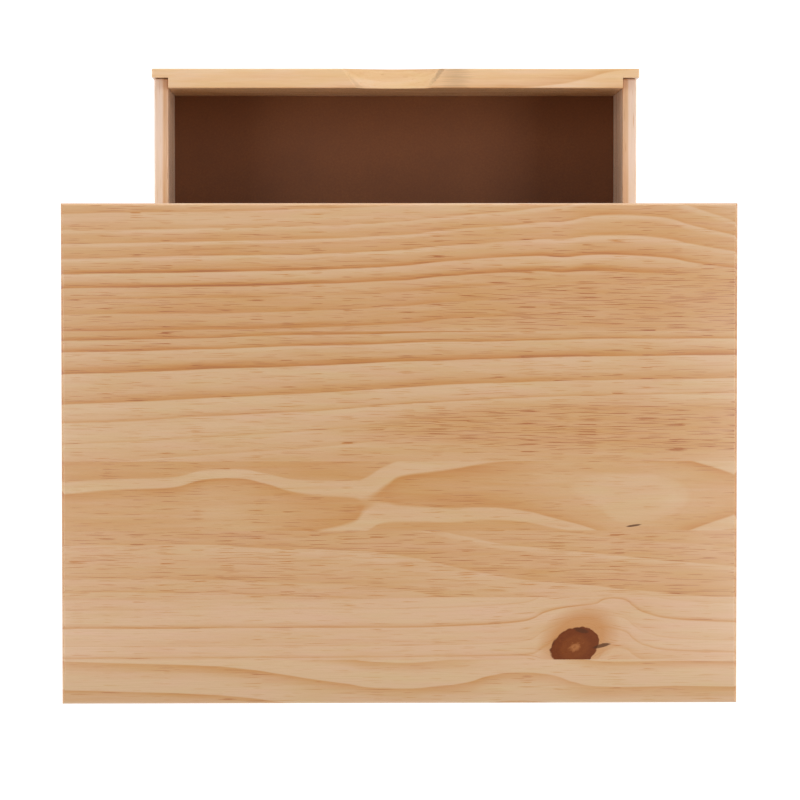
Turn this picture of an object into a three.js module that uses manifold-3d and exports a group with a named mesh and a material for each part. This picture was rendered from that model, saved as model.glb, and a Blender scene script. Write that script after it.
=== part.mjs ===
// A wooden toy box: a pine chest on four corner posts, with a lid hinged at the back over the
// toy compartment, and a drawer below the compartment. Millimetres, +Z up, the front faces -Y,
// left and right as seen from the front. The drawer stands part of the way out.

import * as THREE from "three";
import { mergeVertices } from "three/addons/utils/BufferGeometryUtils.js";
import Module from "manifold-3d";

const wasm = await Module();
wasm.setup();

// ---------------------------------------------------------------- driving dimensions

const GAP = 0.3; // clearance between faces that meet
const EASE = 2; // radius that the visible edges are rounded to
const SHARP = 0.8; // radius on pieces whose edges are only knocked off
const THROUGH = 1; // how far a cut runs past the face that it opens

const BODY_WIDTH = 508;
const BODY_DEPTH = 368;
const BODY_TOP = 460;
const POST = 40; // square section of a corner post

const LID_WIDTH = 540;
const LID_DEPTH = 400;
const LID_THICK = 18;
const LID_GAP = 2; // between the body's top and the lid, where the hinge leaves lie

const PANEL_THICK = 16;
const PANEL_TONGUE = 10; // how far a panel enters a post's groove
const SIDE_PANEL_INNER = 230; // from the middle to the inner face of a side panel
const PANEL_BOTTOM = 60;
const FRONT_SETBACK = 3; // the front panel and the drawer lie this far behind the posts' faces

const RAIL_THICK = 18;
const TENON_THICK = 10;
const TENON_SHOULDER = 6;
const BACK_TOP_RAIL_HEIGHT = 70;
const BACK_BOTTOM_RAIL_HEIGHT = 40;
const FRONT_RAIL_HEIGHT = 39;
const FRONT_RAIL_THICK = 20;
const BACK_PANEL_THICK = 4;
const BACK_PANEL_TONGUE = 5;

const FLOOR_THICK = 6; // compartment floor
const FLOOR_BOTTOM = 243.3;
const CLEAT_WIDTH = 18;
const SIDE_CLEAT_INNER = 200; // the side cleats also keep the drawer from tipping
const FRONT_CLEAT_HEIGHT = 10;

const DRAWER_WIDTH = 425;
const DRAWER_DEPTH = 330;
const DRAWER_FRONT_THICK = 17;
const DRAWER_FRONT_BOTTOM = 102;
const DRAWER_FRONT_TOP = 230;
const DRAWER_LIP = 7.8; // what is left of the front where it covers a side's end
const DRAWER_SIDE_INNER = 198.5; // from the middle to the inner face of a drawer side
const DRAWER_SIDE_THICK = 12.4;
const DRAWER_SIDE_BOTTOM = 106;
const DRAWER_SIDE_TOP = 220;
const DRAWER_BACK_THICK = 12.5;
const DRAWER_BACK_TOP = 216;
const DRAWER_BOTTOM_LEVEL = 114;
const DRAWER_BOTTOM_THICK = 4;
const DRAWER_GROOVE = 5; // depth of the grooves that hold the drawer's bottom
const DRAWER_PULL = 143.5; // how far out the drawer stands

const SCOOP_RADIUS = 106; // the finger scoop is a slanted cylinder's cut
const SCOOP_DEPTH_OUTER = 10.6;
const SCOOP_DEPTH_INNER = 5.5;
const SCOOP_OFFSET = 2; // right of the middle
const SCOOP_FACETS = 180;

const RUNNER_INNER = 196;
const RUNNER_OUTER = 212.7;
const RUNNER_HEIGHT = 19.7;
const GUIDE_TOP = 150;
const STOP_SIZE = 15.4;
const STOP_CLEARANCE = 0.6;

const CATCH_WIDTH = 30;
const CATCH_THICK = 11.7;
const CATCH_BOTTOM = 190;
const CATCH_TOP = 238;

const BATTEN_WIDTH = 40;
const BATTEN_THICK = 12;
const BATTEN_OFFSET = 120;
const BATTEN_HALF_LENGTH = 150;

const HINGE_OFFSET = 165; // each hinge, from the middle
const HINGE_AXIS_Y = 187;
const HINGE_AXIS_Z = 459;
const HINGE_BARREL_RADIUS = 2.7;
const HINGE_PIN_RADIUS = 1.2;
const HINGE_LENGTH = 60;
const HINGE_KNUCKLE = 20; // length of the body leaf's middle knuckle
const HINGE_LEAF_THICK = 1.3;
const HINGE_LEAF_REACH = 30; // body leaf, down from the axis
const HINGE_LID_LEAF_FRONT = 168;
const HINGE_SCREW_OFFSET = 20;

const SCREW_HEAD_RADIUS = 2.7;
const SCREW_HEAD_DEPTH = 1.2;
const SCREW_SHANK_RADIUS = 1.4;
const SCREW_LENGTH = 13;
const SCREW_RECESS_WIDTH = 0.7;
const SCREW_RECESS_DEPTH = 0.7;

const NAIL_RADIUS = 0.9;
const NAIL_HEAD_RADIUS = 1.6;
const NAIL_HEAD_THICK = 1;
const NAIL_LENGTH = 26;

const GLIDE_RADIUS = 15;
const GLIDE_THICK = 4;
const GLIDE_NAIL_RADIUS = 2;
const GLIDE_NAIL_LENGTH = 14;
const BUMPER_RADIUS = 6;

// ---------------------------------------------------------------- places that follow

const HALF_WIDTH = BODY_WIDTH / 2;
const HALF_DEPTH = BODY_DEPTH / 2;
const POST_INNER_X = HALF_WIDTH - POST;
const POST_INNER_Y = HALF_DEPTH - POST;
const POST_FOOT = GLIDE_THICK + GAP;
const FRONT_FACE = -HALF_DEPTH + FRONT_SETBACK;
const LID_UNDERSIDE = BODY_TOP + LID_GAP;
const SIDE_PANEL_OUTER = SIDE_PANEL_INNER + PANEL_THICK;
const RAIL_FRONT = HALF_DEPTH - RAIL_THICK; // front face of the two back rails
const BACK_PANEL_FRONT = HALF_DEPTH - (RAIL_THICK + BACK_PANEL_THICK) / 2;
const BACK_PANEL_BOTTOM = PANEL_BOTTOM + BACK_BOTTOM_RAIL_HEIGHT - BACK_PANEL_TONGUE;
const BACK_PANEL_TOP = BODY_TOP - BACK_TOP_RAIL_HEIGHT + BACK_PANEL_TONGUE;
const RUNNER_TOP = DRAWER_SIDE_BOTTOM - GAP;
const RUNNER_BOTTOM = RUNNER_TOP - RUNNER_HEIGHT;
const CLEAT_TOP = FLOOR_BOTTOM - GAP;
const FRONT_PANEL_INNER_Y = FRONT_FACE + PANEL_THICK;
const FRONT_PANEL_BOTTOM = CLEAT_TOP - FRONT_CLEAT_HEIGHT;
const DRAWER_REAR = FRONT_FACE + DRAWER_DEPTH;
const DRAWER_FRONT_INNER = FRONT_FACE + DRAWER_FRONT_THICK;
const DRAWER_SIDE_FRONT = FRONT_FACE + DRAWER_LIP + GAP;
const DRAWER_BACK_INNER = DRAWER_REAR - DRAWER_BACK_THICK;
const DRAWER_BOTTOM_TOP = DRAWER_BOTTOM_LEVEL + DRAWER_BOTTOM_THICK;
const CATCH_REAR = DRAWER_BACK_INNER - GAP;
const FRONT_MOST = FRONT_FACE - DRAWER_PULL;
const MIDDLE_OF_DEPTH = (FRONT_MOST + LID_DEPTH / 2) / 2;

const SIDES = [
  ["left", -1],
  ["right", 1],
];
const ENDS = [
  ["front", -1],
  ["rear", 1],
];

// ---------------------------------------------------------------- materials

const finish = (color, roughness, metalness = 0) =>
  new THREE.MeshStandardMaterial({ color, roughness, metalness });

const pine = finish("#dfb384", 0.55);
const paleHardwood = finish("#cfa574", 0.6);
const hardboard = finish("#5d3a24", 0.7);
const plywood = finish("#d2ac7c", 0.65);
const steel = finish("#b9b9b4", 0.35, 1);
const felt = finish("#7d756a", 0.95);
const nylon = finish("#3a322b", 0.5);

// ---------------------------------------------------------------- solids

const AXES = {
  x: new THREE.Vector3(1, 0, 0),
  y: new THREE.Vector3(0, 1, 0),
  z: new THREE.Vector3(0, 0, 1),
};

// A box is written as its low and high value on each axis.
const length = (box, axis) => box[axis][1] - box[axis][0];
const centre = (box) =>
  new THREE.Vector3(...["x", "y", "z"].map((axis) => (box[axis][0] + box[axis][1]) / 2));

// The span from near to far of the middle, on the left (-1) or the right (1).
const off = (sign, near, far) => (sign > 0 ? [near, far] : [-far, -near]);
const both = (half) => [-half, half];

function solidOf(geometry) {
  const plain = geometry.clone();
  plain.deleteAttribute("normal");
  plain.deleteAttribute("uv");
  const merged = mergeVertices(plain, 1e-4);
  return new wasm.Manifold(
    new wasm.Mesh({
      numProp: 3,
      vertProperties: merged.attributes.position.array,
      triVerts: new Uint32Array(merged.index.array),
    }),
  );
}

function geometryOf(solid) {
  const { vertProperties, triVerts } = solid.getMesh();
  const geometry = new THREE.BufferGeometry();
  geometry.setAttribute("position", new THREE.BufferAttribute(vertProperties, 3));
  geometry.setIndex(new THREE.BufferAttribute(triVerts, 1));
  const faceted = geometry.toNonIndexed();
  faceted.computeVertexNormals();
  return faceted;
}

function block(box) {
  const geometry = new THREE.BoxGeometry(length(box, "x"), length(box, "y"), length(box, "z"));
  geometry.translate(...centre(box));
  return solidOf(geometry);
}

function roundedRectangle(width, height, radius) {
  const [right, top] = [width / 2 - radius, height / 2 - radius];
  const shape = new THREE.Shape();
  shape.absarc(right, top, radius, 0, Math.PI / 2);
  shape.absarc(-right, top, radius, Math.PI / 2, Math.PI);
  shape.absarc(-right, -top, radius, Math.PI, 1.5 * Math.PI);
  shape.absarc(right, -top, radius, 1.5 * Math.PI, 2 * Math.PI);
  return shape;
}

// A board that fills a box, with eased edges and ends. The grain runs along one axis.
function board(box, grain, ease = SHARP, roundness = 1) {
  const [across, up] = { x: ["y", "z"], y: ["z", "x"], z: ["x", "y"] }[grain];
  const bevel = 0.8 * ease;
  const depth = length(box, grain) - 2 * bevel;
  const section = roundedRectangle(length(box, across), length(box, up), ease);
  const geometry = new THREE.ExtrudeGeometry(section, {
    depth,
    bevelThickness: bevel,
    bevelSize: bevel,
    bevelOffset: -bevel,
    bevelSegments: Math.max(1, roundness - 1),
    curveSegments: roundness,
  });
  geometry.translate(0, 0, -depth / 2);
  geometry.applyMatrix4(new THREE.Matrix4().makeBasis(AXES[across], AXES[up], AXES[grain]));
  geometry.translate(...centre(box));
  return solidOf(geometry);
}

// A turned piece: its profile of [radius, height] points spins round a line through the origin,
// and then stands at a place with its height running along a direction.
function turned(profile, facets, at, direction = AXES.z) {
  const points = profile.map(([radius, height]) => new THREE.Vector2(radius, height));
  const geometry = new THREE.LatheGeometry(points, facets);
  geometry.rotateX(Math.PI / 2);
  geometry.applyQuaternion(new THREE.Quaternion().setFromUnitVectors(AXES.z, direction));
  geometry.translate(...at);
  return solidOf(geometry);
}

const rod = (radius, from, to, facets, at, direction) =>
  turned([[0, from], [radius, from], [radius, to], [0, to]], facets, at, direction);

const cut = (solid, cutters) => cutters.reduce((left, cutter) => left.subtract(cutter), solid);
const join = (solid, additions) => additions.reduce((all, part) => all.add(part), solid);

// ---------------------------------------------------------------- the scene's groups

const toyBox = new THREE.Group();
const body = new THREE.Group();
const lid = new THREE.Group();
const drawer = new THREE.Group();
toyBox.add(body, lid, drawer);

// Every solid is worked out in the closed box's frame. home is where its group's own frame
// lies in that one.
body.userData.home = new THREE.Vector3();
lid.userData.home = new THREE.Vector3(0, HINGE_AXIS_Y, HINGE_AXIS_Z);
drawer.userData.home = new THREE.Vector3();

function add(group, name, material, solid) {
  const geometry = geometryOf(solid);
  geometry.computeBoundingBox();
  const middle = geometry.boundingBox.getCenter(new THREE.Vector3());
  geometry.translate(-middle.x, -middle.y, -middle.z);
  const mesh = new THREE.Mesh(geometry, material);
  mesh.name = name;
  mesh.position.copy(middle).sub(group.userData.home);
  group.add(mesh);
}

// ---------------------------------------------------------------- fasteners

const crossRecess = (reach) => [
  [2 * reach, SCREW_RECESS_WIDTH],
  [SCREW_RECESS_WIDTH, 2 * reach],
];

// A countersunk screw whose head's face is at a place, and whose shank runs along a direction.
function screw(at, direction) {
  const solid = turned(
    [
      [0, 0],
      [SCREW_HEAD_RADIUS, 0],
      [SCREW_SHANK_RADIUS, SCREW_HEAD_DEPTH],
      [SCREW_SHANK_RADIUS, SCREW_LENGTH - 3],
      [0, SCREW_LENGTH],
    ],
    14,
    at,
    direction,
  );
  const turn = new THREE.Quaternion().setFromUnitVectors(AXES.z, direction);
  const recesses = crossRecess(SCREW_HEAD_RADIUS * 0.6).map(([width, height]) => {
    const geometry = new THREE.BoxGeometry(width, height, 2 * SCREW_RECESS_DEPTH);
    geometry.applyQuaternion(turn);
    geometry.translate(...at);
    return solidOf(geometry);
  });
  return cut(solid, recesses);
}

// The hole that the same screw sits in.
function screwHole(at, direction) {
  return turned(
    [
      [0, -THROUGH],
      [SCREW_HEAD_RADIUS + GAP + THROUGH, -THROUGH],
      [SCREW_HEAD_RADIUS + GAP, 0],
      [SCREW_SHANK_RADIUS + GAP, SCREW_HEAD_DEPTH + GAP],
      [SCREW_SHANK_RADIUS + GAP, SCREW_LENGTH + GAP],
      [0, SCREW_LENGTH + GAP],
    ],
    14,
    at,
    direction,
  );
}

// A nail driven through a drawer side into the front's shoulder, its head just below the face.
function nailProfile(grow) {
  return [
    [0, -grow],
    [NAIL_HEAD_RADIUS + grow, -grow],
    [NAIL_HEAD_RADIUS + grow, NAIL_HEAD_THICK + grow],
    [NAIL_RADIUS + grow, NAIL_HEAD_THICK + grow],
    [NAIL_RADIUS + grow, NAIL_LENGTH + grow],
    [0, NAIL_LENGTH + grow],
  ];
}

// ---------------------------------------------------------------- corner posts and feet

function postGrooves(sideSign, endSign) {
  const mouth = PANEL_TONGUE + GAP;
  const enterX = off(sideSign, POST_INNER_X - THROUGH, POST_INNER_X + mouth);
  const grooves = [
    block({
      x: off(sideSign, SIDE_PANEL_INNER - GAP, SIDE_PANEL_OUTER + GAP),
      y: off(endSign, POST_INNER_Y - THROUGH, POST_INNER_Y + mouth),
      z: [PANEL_BOTTOM - GAP, BODY_TOP + THROUGH],
    }),
  ];
  if (endSign < 0) {
    grooves.push(
      block({
        x: enterX,
        y: [FRONT_FACE - GAP, FRONT_PANEL_INNER_Y + GAP],
        z: [FRONT_PANEL_BOTTOM - GAP, BODY_TOP + THROUGH],
      }),
      block({
        x: enterX,
        y: frontRailTenon.y.map((y, end) => y + (end ? GAP : -GAP)),
        z: frontRailTenon.z.map((z, end) => z + (end ? GAP : -GAP)),
      }),
    );
    return grooves;
  }
  for (const tenon of [backTopTenon, backBottomTenon]) {
    grooves.push(
      block({
        x: enterX,
        y: tenon.y.map((y, end) => y + (end ? GAP : -GAP)),
        z: tenon.z.map((z, end) => z + (end ? GAP : -GAP)),
      }),
    );
  }
  grooves.push(
    block({
      x: off(sideSign, POST_INNER_X - THROUGH, POST_INNER_X + BACK_PANEL_TONGUE + GAP),
      y: [BACK_PANEL_FRONT - GAP, BACK_PANEL_FRONT + BACK_PANEL_THICK + GAP],
      z: [BACK_PANEL_BOTTOM - GAP, BACK_PANEL_TOP + GAP],
    }),
  );
  return grooves;
}

function makePostsAndFeet() {
  for (const [side, sideSign] of SIDES) {
    for (const [end, endSign] of ENDS) {
      const box = {
        x: off(sideSign, POST_INNER_X, HALF_WIDTH),
        y: off(endSign, POST_INNER_Y, HALF_DEPTH),
        z: [POST_FOOT, BODY_TOP],
      };
      const foot = centre(box).setZ(0);
      const nailTop = GLIDE_THICK + GLIDE_NAIL_LENGTH;
      const hole = rod(GLIDE_NAIL_RADIUS + GAP, 0, nailTop + GAP, 12, foot);
      const grooves = postGrooves(sideSign, endSign);
      add(body, `post_${end}_${side}`, pine, cut(board(box, "z", EASE, 3), [hole, ...grooves]));
      const glide = turned(
        [
          [0, 0],
          [GLIDE_RADIUS - 1, 0],
          [GLIDE_RADIUS, 1],
          [GLIDE_RADIUS, GLIDE_THICK],
          [GLIDE_NAIL_RADIUS, GLIDE_THICK],
          [GLIDE_NAIL_RADIUS, nailTop],
          [0, nailTop],
        ],
        20,
        foot,
      );
      add(body, `foot_glide_${end}_${side}`, nylon, glide);
    }
    const bumper = new THREE.Vector3(sideSign * (HALF_WIDTH - POST / 2), -(HALF_DEPTH - POST / 2), 0);
    const pad = rod(BUMPER_RADIUS, BODY_TOP + GAP, LID_UNDERSIDE - GAP, 20, bumper);
    add(body, `lid_bumper_${side}`, felt, pad);
  }
}

// ---------------------------------------------------------------- rails and panels

function railBox(y, z) {
  return { x: both(POST_INNER_X - GAP), y, z };
}

function tenonBox(rail) {
  const middleY = (rail.y[0] + rail.y[1]) / 2;
  return {
    x: both(POST_INNER_X + PANEL_TONGUE),
    y: [middleY - TENON_THICK / 2, middleY + TENON_THICK / 2],
    z: [rail.z[0] + TENON_SHOULDER, rail.z[1] - TENON_SHOULDER],
  };
}

const backTopRail = railBox([RAIL_FRONT, HALF_DEPTH], [BODY_TOP - BACK_TOP_RAIL_HEIGHT, BODY_TOP]);
const backBottomRail = railBox(
  [RAIL_FRONT, HALF_DEPTH],
  [PANEL_BOTTOM, PANEL_BOTTOM + BACK_BOTTOM_RAIL_HEIGHT],
);
const frontRail = railBox(
  [FRONT_FACE, FRONT_FACE + FRONT_RAIL_THICK],
  [PANEL_BOTTOM, PANEL_BOTTOM + FRONT_RAIL_HEIGHT],
);
const backTopTenon = tenonBox(backTopRail);
backTopTenon.z = [BACK_PANEL_TOP + TENON_SHOULDER, BODY_TOP - TENON_SHOULDER];
const backBottomTenon = tenonBox(backBottomRail);
backBottomTenon.z = [PANEL_BOTTOM + TENON_SHOULDER, BACK_PANEL_BOTTOM - TENON_SHOULDER];
const frontRailTenon = tenonBox(frontRail);

function backPanelGroove(z) {
  return block({
    x: both(POST_INNER_X + THROUGH),
    y: [BACK_PANEL_FRONT - GAP, BACK_PANEL_FRONT + BACK_PANEL_THICK + GAP],
    z,
  });
}

function makeRails() {
  const hingeHoles = SIDES.flatMap(([, sign]) =>
    bodyLeafScrews(sign).map((at) => screwHole(at, AXES.y.clone().negate())),
  );
  const topGroove = backPanelGroove([backTopRail.z[0] - THROUGH, BACK_PANEL_TOP + GAP]);
  const bottomGroove = backPanelGroove([BACK_PANEL_BOTTOM - GAP, backBottomRail.z[1] + THROUGH]);
  const rail = (box, tenon) => join(board(box, "x", EASE, 2), [block(tenon)]);
  const topRail = cut(rail(backTopRail, backTopTenon), [topGroove, ...hingeHoles]);
  add(body, "back_top_rail", pine, topRail);
  add(body, "back_bottom_rail", pine, cut(rail(backBottomRail, backBottomTenon), [bottomGroove]));
  add(body, "front_bottom_rail", pine, rail(frontRail, frontRailTenon));
}

function makePanels() {
  for (const [side, sign] of SIDES) {
    const box = {
      x: off(sign, SIDE_PANEL_INNER, SIDE_PANEL_OUTER),
      y: both(POST_INNER_Y + PANEL_TONGUE),
      z: [PANEL_BOTTOM, BODY_TOP],
    };
    add(body, `side_panel_${side}`, pine, board(box, "z", EASE, 2));
  }
  const front = {
    x: both(POST_INNER_X + PANEL_TONGUE),
    y: [FRONT_FACE, FRONT_PANEL_INNER_Y],
    z: [FRONT_PANEL_BOTTOM, BODY_TOP],
  };
  add(body, "front_panel", pine, board(front, "x", EASE, 2));
  const back = {
    x: both(POST_INNER_X + BACK_PANEL_TONGUE),
    y: [BACK_PANEL_FRONT, BACK_PANEL_FRONT + BACK_PANEL_THICK],
    z: [BACK_PANEL_BOTTOM, BACK_PANEL_TOP],
  };
  add(body, "back_panel", hardboard, board(back, "x", 0.4));
}

// ---------------------------------------------------------------- compartment floor

function makeFloor() {
  const innerX = SIDE_PANEL_INNER - GAP;
  const box = {
    x: both(innerX),
    y: [FRONT_PANEL_INNER_Y + GAP, BACK_PANEL_FRONT - GAP],
    z: [FLOOR_BOTTOM, FLOOR_BOTTOM + FLOOR_THICK],
  };
  const notches = SIDES.flatMap(([, sideSign]) =>
    ENDS.map(([, endSign]) =>
      block({
        x: off(sideSign, POST_INNER_X - GAP, HALF_WIDTH),
        y: off(endSign, POST_INNER_Y - GAP, HALF_DEPTH),
        z: [box.z[0] - THROUGH, box.z[1] + THROUGH],
      }),
    ),
  );
  add(body, "compartment_floor", plywood, cut(board(box, "x", 0.6), notches));
  const cleatZ = [CLEAT_TOP - CLEAT_WIDTH, CLEAT_TOP];
  for (const [side, sign] of SIDES) {
    const cleat = { x: off(sign, SIDE_CLEAT_INNER, innerX), y: both(POST_INNER_Y - GAP), z: cleatZ };
    add(body, `floor_cleat_${side}`, paleHardwood, board(cleat, "y"));
  }
  const crossX = both(POST_INNER_X - GAP);
  const frontY = [FRONT_PANEL_INNER_Y + GAP, FRONT_PANEL_INNER_Y + CLEAT_WIDTH];
  const frontCleat = { x: crossX, y: frontY, z: [FRONT_PANEL_BOTTOM, CLEAT_TOP] };
  add(body, "floor_cleat_front", paleHardwood, board(frontCleat, "x"));
  const rearY = [BACK_PANEL_FRONT - GAP - CLEAT_WIDTH, BACK_PANEL_FRONT - GAP];
  add(body, "floor_cleat_rear", paleHardwood, board({ x: crossX, y: rearY, z: cleatZ }, "x"));
}

// ---------------------------------------------------------------- drawer runners

function makeRunners() {
  for (const [side, sign] of SIDES) {
    const runner = {
      x: off(sign, RUNNER_INNER, RUNNER_OUTER),
      y: [frontRail.y[1] + GAP, RAIL_FRONT - GAP],
      z: [RUNNER_BOTTOM, RUNNER_TOP],
    };
    add(body, `drawer_runner_${side}`, paleHardwood, board(runner, "y"));
    const guide = {
      x: off(sign, RUNNER_OUTER + GAP, SIDE_PANEL_INNER - GAP),
      y: both(POST_INNER_Y - GAP),
      z: [RUNNER_BOTTOM, GUIDE_TOP],
    };
    add(body, `drawer_guide_${side}`, paleHardwood, board(guide, "y"));
    const stop = {
      x: runner.x,
      y: [DRAWER_REAR + STOP_CLEARANCE, DRAWER_REAR + STOP_CLEARANCE + STOP_SIZE],
      z: [RUNNER_TOP + GAP, RUNNER_TOP + GAP + STOP_SIZE],
    };
    add(body, `drawer_stop_${side}`, paleHardwood, board(stop, "x"));
  }
}

// ---------------------------------------------------------------- drawer

const drawerBottomGroove = (x, y) =>
  block({ x, y, z: [DRAWER_BOTTOM_LEVEL - GAP, DRAWER_BOTTOM_TOP + GAP] });

const nailPlaces = (sign) =>
  [["lower", DRAWER_SIDE_BOTTOM + 30], ["upper", DRAWER_SIDE_TOP - 30]].map(([level, z]) => [
    level,
    new THREE.Vector3(
      sign * (DRAWER_SIDE_INNER + DRAWER_SIDE_THICK - 0.5),
      (DRAWER_SIDE_FRONT + DRAWER_FRONT_INNER) / 2,
      z,
    ),
  ]);

const nailHole = (sign, at) => {
  const inward = AXES.x.clone().multiplyScalar(-sign);
  const mouth = rod(NAIL_HEAD_RADIUS + GAP, -THROUGH, 0, 12, at, inward);
  return turned(nailProfile(GAP), 12, at, inward).add(mouth);
};

// The scoop's cylinder leans, so that it cuts deeper at the outer face than at the inner one.
function scoopCutter() {
  const fall = SCOOP_DEPTH_OUTER - SCOOP_DEPTH_INNER;
  const lean = Math.atan2(fall, DRAWER_FRONT_THICK);
  const upright = SCOOP_RADIUS / Math.cos(lean);
  const middleDepth = (SCOOP_DEPTH_OUTER + SCOOP_DEPTH_INNER) / 2;
  const at = new THREE.Vector3(
    SCOOP_OFFSET,
    FRONT_FACE + DRAWER_FRONT_THICK / 2,
    DRAWER_FRONT_TOP - middleDepth + upright,
  );
  const direction = new THREE.Vector3(0, Math.cos(lean), Math.sin(lean));
  return rod(SCOOP_RADIUS, -60, 60, SCOOP_FACETS, at, direction);
}

function makeDrawerFront() {
  const box = {
    x: both(DRAWER_WIDTH / 2),
    y: [FRONT_FACE, DRAWER_FRONT_INNER],
    z: [DRAWER_FRONT_BOTTOM, DRAWER_FRONT_TOP],
  };
  const shoulder = DRAWER_SIDE_INNER - GAP;
  const rebates = SIDES.map(([, sign]) =>
    block({
      x: off(sign, shoulder, DRAWER_WIDTH / 2 + THROUGH),
      y: [FRONT_FACE + DRAWER_LIP, DRAWER_FRONT_INNER + THROUGH],
      z: [box.z[0] - THROUGH, box.z[1] + THROUGH],
    }),
  );
  const grooveY = [DRAWER_FRONT_INNER - DRAWER_GROOVE - GAP, DRAWER_FRONT_INNER + THROUGH];
  const groove = drawerBottomGroove(both(shoulder + THROUGH), grooveY);
  const holes = SIDES.flatMap(([, sign]) => nailPlaces(sign).map(([, at]) => nailHole(sign, at)));
  const solid = cut(board(box, "x", 1.2, 3), [...rebates, groove, scoopCutter(), ...holes]);
  add(drawer, "drawer_front", pine, solid);
}

function makeDrawerSides() {
  for (const [side, sign] of SIDES) {
    const box = {
      x: off(sign, DRAWER_SIDE_INNER, DRAWER_SIDE_INNER + DRAWER_SIDE_THICK),
      y: [DRAWER_SIDE_FRONT, DRAWER_REAR],
      z: [DRAWER_SIDE_BOTTOM, DRAWER_SIDE_TOP],
    };
    const grooveX = off(sign, DRAWER_SIDE_INNER - THROUGH, DRAWER_SIDE_INNER + DRAWER_GROOVE);
    const groove = drawerBottomGroove(grooveX, [box.y[0] - THROUGH, box.y[1] + THROUGH]);
    const places = nailPlaces(sign);
    const holes = places.map(([, at]) => nailHole(sign, at));
    add(drawer, `drawer_side_${side}`, pine, cut(board(box, "y", 1.5, 3), [groove, ...holes]));
    for (const [level, at] of places) {
      const nail = turned(nailProfile(0), 12, at, AXES.x.clone().multiplyScalar(-sign));
      add(drawer, `drawer_nail_${side}_${level}`, steel, nail);
    }
  }
}

function makeDrawerBackAndBottom() {
  const catchScrewAt = new THREE.Vector3(0, CATCH_REAR - CATCH_THICK, CATCH_BOTTOM + 12);
  const back = {
    x: both(DRAWER_SIDE_INNER - GAP),
    y: [DRAWER_BACK_INNER, DRAWER_REAR],
    z: [DRAWER_BOTTOM_TOP + GAP, DRAWER_BACK_TOP],
  };
  const screwRun = CATCH_THICK + 8;
  const shank = rod(SCREW_SHANK_RADIUS + GAP, 0, screwRun + GAP, 14, catchScrewAt, AXES.y);
  add(drawer, "drawer_back", pine, cut(board(back, "x", 1.5), [shank]));
  const bottom = {
    x: both(DRAWER_SIDE_INNER + DRAWER_GROOVE - GAP),
    y: [DRAWER_FRONT_INNER - DRAWER_GROOVE, DRAWER_REAR],
    z: [DRAWER_BOTTOM_LEVEL, DRAWER_BOTTOM_TOP],
  };
  add(drawer, "drawer_bottom", hardboard, board(bottom, "x", 0.4));
  const catchBlock = {
    x: both(CATCH_WIDTH / 2),
    y: [CATCH_REAR - CATCH_THICK, CATCH_REAR],
    z: [CATCH_BOTTOM, CATCH_TOP],
  };
  const mouth = turned(
    [
      [0, -THROUGH],
      [SCREW_HEAD_RADIUS + GAP + THROUGH, -THROUGH],
      [SCREW_HEAD_RADIUS + GAP, 0],
      [SCREW_SHANK_RADIUS + GAP, SCREW_HEAD_DEPTH + GAP],
      [0, SCREW_HEAD_DEPTH + GAP],
    ],
    14,
    catchScrewAt,
    AXES.y,
  );
  add(drawer, "drawer_catch", paleHardwood, cut(board(catchBlock, "z", EASE), [shank, mouth]));
  const catchScrew = join(screw(catchScrewAt, AXES.y), [
    rod(SCREW_SHANK_RADIUS, SCREW_HEAD_DEPTH, screwRun, 14, catchScrewAt, AXES.y),
  ]);
  add(drawer, "drawer_catch_screw", steel, catchScrew);
}

// ---------------------------------------------------------------- hinges

const BODY_LEAF_FACE = HALF_DEPTH + GAP + HINGE_LEAF_THICK;
const LID_LEAF_TOP = LID_UNDERSIDE - GAP;
const LID_LEAF_UNDERSIDE = LID_LEAF_TOP - HINGE_LEAF_THICK;
const BODY_LEAF_SCREW_Z = HINGE_AXIS_Z - 19;
const LID_LEAF_SCREW_Y = (HINGE_LID_LEAF_FRONT + HALF_DEPTH) / 2;

function hingeScrewXs(sign) {
  return [-1, 1].map((end) => sign * HINGE_OFFSET + end * HINGE_SCREW_OFFSET);
}

function bodyLeafScrews(sign) {
  return hingeScrewXs(sign).map((x) => new THREE.Vector3(x, BODY_LEAF_FACE, BODY_LEAF_SCREW_Z));
}

function lidLeafScrews(sign) {
  return hingeScrewXs(sign).map((x) => new THREE.Vector3(x, LID_LEAF_SCREW_Y, LID_LEAF_UNDERSIDE));
}

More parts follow.
